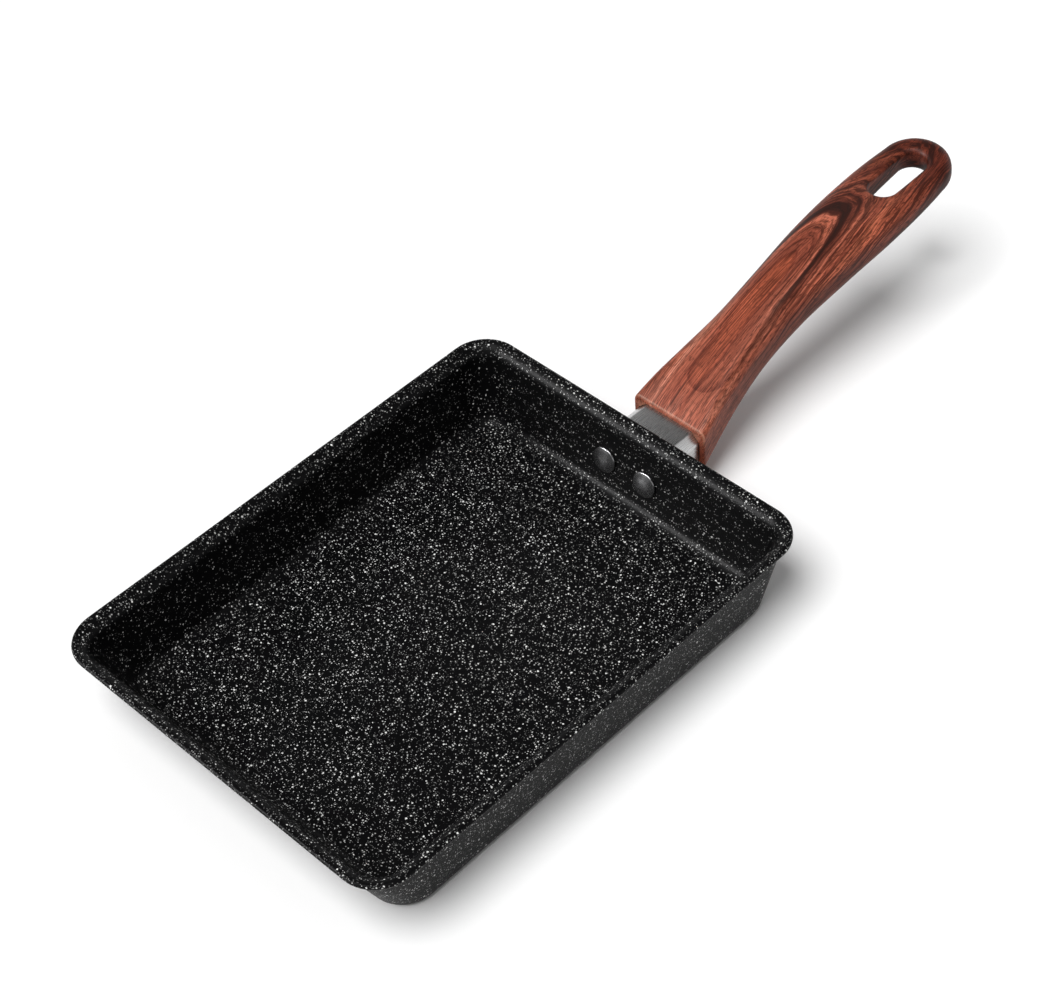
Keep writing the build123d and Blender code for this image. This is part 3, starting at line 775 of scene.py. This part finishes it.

    # painted shade: the sides darken downward, less in front
    side = add(tree, "MapRange", {"Value": parts.outputs["Z"], "From Min": -2.5, "From Max": -8.0})
    back = add(tree, "MapRange", {"Value": front, "To Min": 1.0, "To Max": 0.35})
    side = add(tree, "Math", {0: side, 1: back}, operation="MULTIPLY")
    bow = front_bow(tree, along, parts.outputs["Y"], sway)

    # tints: print and painted sheen, dark fibres, the bow, light fibres, the tail, painted shade, painted
    # highlight
    wood = ovals
    for share, tint, blend in (
            (outside, pale_print_and_sheen, "MIX"), (dark, linear("#34140c"), "MIX"),
            (bow, (0.52, 0.42, 0.4, 1.0), "MULTIPLY"), (light, (1.55, 1.6, 1.65, 1.0), "MULTIPLY"),
            (tail, (0.26, 0.2, 0.19, 1.0), "MULTIPLY"), (side, (0.32, 0.28, 0.28, 1.0), "MULTIPLY"),
            (painted_highlight, linear("#d8a488"), "MIX")):
        wood = add(tree, "Mix", {"Factor": share, "A": wood, "B": tint}, data_type="RGBA", blend_type=blend)
        wood = wood.outputs["Result"]
    tree.links.new(wood, shader.inputs["Base Color"])
    bump = add(tree, "Bump", {"Height": strand, "Strength": 0.25, "Distance": 0.05 * MM})
    tree.links.new(bump.outputs["Normal"], shader.inputs["Normal"])
    return made


def brushed_metal(name, tones, rough):
    """Brushed sheet steel: long fine scratches along X, which stretch its highlights across them."""
    made, tree, shader = material(name, Metallic=1.0, Roughness=rough)
    place = add(tree, "TexCoord").outputs["Object"]
    scratch = add(tree, "VectorMath", {0: place, 1: SCRATCH_STRETCH}, operation="MULTIPLY")
    lines = add(tree, "TexNoise", {
        "Vector": scratch, "Scale": per_mm(SCRATCH), "Detail": 4.0, "Roughness": 0.7})
    tint = add(tree, "ValToRGB", {"Fac": lines}, stops=((0.25, tones[0]), (0.75, tones[1])))
    tree.links.new(tint.outputs["Color"], shader.inputs["Base Color"])
    gloss = add(tree, "MapRange", {"Value": lines, "To Min": rough - 0.08, "To Max": rough + 0.1})
    tree.links.new(gloss.outputs["Result"], shader.inputs["Roughness"])
    bump = add(tree, "Bump", {"Height": lines, "Strength": 0.3, "Distance": 0.01 * MM})
    tree.links.new(bump.outputs["Normal"], shader.inputs["Normal"])
    return made


def rumbled_metal(name, tones, rough):
    """Rumbled or plated small metal: satin, faintly mottled, with small dents."""
    made, tree, shader = material(name, Metallic=1.0, Roughness=rough)
    place = add(tree, "TexCoord").outputs["Object"]
    mottle = add(tree, "TexNoise", {"Vector": place, "Scale": per_mm(DENT), "Detail": 4.0})
    tint = add(tree, "ValToRGB", {"Fac": mottle}, stops=((0.3, tones[0]), (0.7, tones[1])))
    tree.links.new(tint.outputs["Color"], shader.inputs["Base Color"])
    bump = add(tree, "Bump", {"Height": mottle, "Strength": 0.2, "Distance": 0.03 * MM})
    tree.links.new(bump.outputs["Normal"], shader.inputs["Normal"])
    return made


def vertex_values(made, name, kind, values):
    """Stores one value, or one vector, for each corner of a piece under a name that its material reads."""
    store = made.data.attributes.new(name, kind, "POINT")
    store.data.foreach_set("value" if kind == "FLOAT" else "vector", np.ravel(values).astype(np.float32))


def vertex_places(made):
    """Places in millimetres and normals of a piece's corners."""
    count = len(made.data.vertices)
    places, normals = np.empty(count * 3), np.empty(count * 3)
    made.data.vertices.foreach_get("co", places)
    made.data.vertices.foreach_get("normal", normals)
    return places.reshape(-1, 3) / MM, normals.reshape(-1, 3)


def spread_specks(made):
    """Share of specks on each part of the coating: all on the level parts, and fewer on the steep parts,
    above all inside, which paints shade on the walls. A part's steepness is 1 less 1.3 times the upright
    share of its normal."""
    place, normal = vertex_places(made)
    inside = (place[:, :2] * normal[:, :2]).sum(axis=1) < 0
    steep = 1.0 - np.clip(np.abs(normal[:, 2]) * 1.3, 0.0, 1.0)
    share = np.where(inside, INNER_SHARE, OUTER_SHARE)
    vertex_values(made, "speck_share_and_shade", "FLOAT", 1.0 - (1.0 - share) * steep)


def spread_grain(made):
    """Grain of the handle. Its vector holds the place along X, across, and the height over the upper skin.
    The figure is the distance from the ovals' middle, counted in ovals: the root of the summed squares of
    the lengths ahead and behind, the width, and the depth below the upper skin, each as a share of an oval.
    The painted highlight on the front edge is, on the front's upper rounding, the square of 4 times the
    forward share of the normal times the rest of it."""
    place, normal = vertex_places(made)
    x, y, z = place.T
    high = z - skin_line(1)(x)
    vertex_values(made, "grain", "FLOAT_VECTOR", np.stack([x, y, high], axis=-1))
    behind = np.clip((OVAL_MIDDLE - x) / OVAL_BEHIND, 0.0, None)
    ahead = np.clip((x - OVAL_MIDDLE) / OVAL_AHEAD, 0.0, None)
    drift = DRIFT_ACROSS * np.clip((x - DRIFT_START) / DRIFT_LENGTH, 0.0, 1.0)
    spread = 1.0 + OVAL_SPREAD * np.clip((OVAL_MIDDLE - x) / OVAL_SPREAD_LENGTH, 0.0, 1.0)
    wide = (y - drift) / (OVAL_HALF * spread)
    deep = high / OVAL_HALF
    vertex_values(made, "figure", "FLOAT", np.sqrt(behind ** 2 + ahead ** 2 + wide ** 2 + deep ** 2))
    facing = np.abs(normal[:, 0])
    rounding = (x < HANDLE_START + EDGE_HIGHLIGHT_SHARE * FRONT_ROUND) & (high > -EDGE_HIGHLIGHT_DEPTH)
    vertex_values(made, "painted_edge_highlight", "FLOAT", EDGE_HIGHLIGHT * (4.0 * facing * (1.0 - facing)) ** 2 * rounding)


def camera():
    """Camera at the photograph's angle."""
    data = bpy.data.cameras.new("camera")
    data.sensor_width = CAMERA_SENSOR
    data.lens = CAMERA_LENS
    data.clip_start = CAMERA_NEAR
    eye = bpy.data.objects.new("camera", data)
    eye.location = CAMERA_PLACE
    eye.rotation_euler = [math.radians(a) for a in CAMERA_TURN]
    bpy.context.scene.collection.objects.link(eye)
    bpy.context.scene.camera = eye


def sun(name, toward, angle, strength):
    """Distant soft lamp: direction that it shines from, apparent width in degrees, and strength."""
    data = bpy.data.lights.new(name, "SUN")
    data.angle = math.radians(angle)
    data.energy = strength
    lit = bpy.data.objects.new(name, data)
    lit.rotation_euler = Vector(toward).to_track_quat("Z", "Y").to_euler()
    bpy.context.scene.collection.objects.link(lit)
    return lit


def floor():
    """Plain white floor, which the camera sees a little lighter than other rays do."""
    corners = [(x * FLOOR_REACH, y * FLOOR_REACH, 0) for x, y in ((-1, -1), (1, -1), (1, 1), (-1, 1))]
    mesh = bpy.data.meshes.new("floor")
    mesh.from_pydata(corners, [], [(0, 1, 2, 3)])
    made, tree, shader = material("white_paper_floor", Roughness=0.95, Specular_IOR_Level=0.0)
    seen = add(tree, "LightPath").outputs["Is Camera Ray"]
    shade = add(tree, "Mix", {
        "Factor": seen, "A": linear("#f2f2f2"), "B": linear("#ffffff")}, data_type="RGBA")
    tree.links.new(shade.outputs["Result"], shader.inputs["Base Color"])
    mesh.materials.append(made)
    ground = bpy.data.objects.new("floor", mesh)
    bpy.context.scene.collection.objects.link(ground)


def surroundings():
    """White to the camera; in reflections white low down and darker overhead; elsewhere a soft fill."""
    world = bpy.data.worlds.new("studio")
    world.use_nodes = True
    tree = world.node_tree
    ray = add(tree, "LightPath")
    way = add(tree, "SeparateXYZ", {"Vector": add(tree, "TexCoord").outputs["Generated"]})
    above = add(tree, "MapRange", {
        "Value": way.outputs["Z"], "From Min": DARKER_FROM, "From Max": DARKER_TO,
        "To Min": 1.0, "To Max": DARKEST})
    shiny = add(tree, "Math", {
        0: ray.outputs["Is Glossy Ray"], 1: ray.outputs["Is Transmission Ray"]}, operation="MAXIMUM")
    level = add(tree, "Mix", {"Factor": shiny, "A": FILL, "B": above}, data_type="FLOAT")
    level = add(tree, "Mix", {
        "Factor": ray.outputs["Is Camera Ray"], "A": level, "B": 1.0}, data_type="FLOAT")
    back = tree.nodes["Background"]
    back.inputs["Color"].default_value = (1.0, 1.0, 1.0, 1.0)
    tree.links.new(level.outputs["Result"], back.inputs["Strength"])
    bpy.context.scene.world = world


camera()
floor()
surroundings()
sun("key", *KEY)
glint = sun("glint", *GLINT)
glint.visible_diffuse = False
bpy.context.scene.view_settings.view_transform = "Standard"

coating = sprayed_coating()
resin = grained_resin()
cover_steel = brushed_metal("brushed_stainless_cover", ("#a8a8a8", "#d6d6d6"), 0.27)
plate_steel = brushed_metal("brushed_stainless_plate", ("#9a9a9b", "#c2c2c2"), 0.3)
rivet_aluminium = rumbled_metal("satin_aluminium_rivet", ("#6a6a6b", "#8c8c8d"), 0.26)
plated_steel = rumbled_metal("zinc_plated_steel", ("#a3a5a8", "#bfc1c3"), 0.33)

pan = piece("pan_shell", pan_shell(), coating, "pan_body")
spread_specks(pan)
piece("rivet_dome_left", rivet_sheets(1), rivet_aluminium, "rivet_left")
piece("rivet_dome_right", rivet_sheets(-1), rivet_aluminium, "rivet_right")
piece("cover_sheet", cover_sheets(), cover_steel, "flame_guard")
grip = piece("grip_moulding", grip_sheets(), resin, "handle_grip")
spread_grain(grip)
eased("bracket_strap", "handle_bracket", 0.4, plated_steel)
eased("underside_plate", "base_plate", 0.12, plate_steel)
eased("screw_body", "handle_screw", 0.2, plated_steel)
eased("washer_ring", "screw_washer", 0.15, plated_steel)
eased("nut_block", "weld_nut", 0.2, plated_steel)
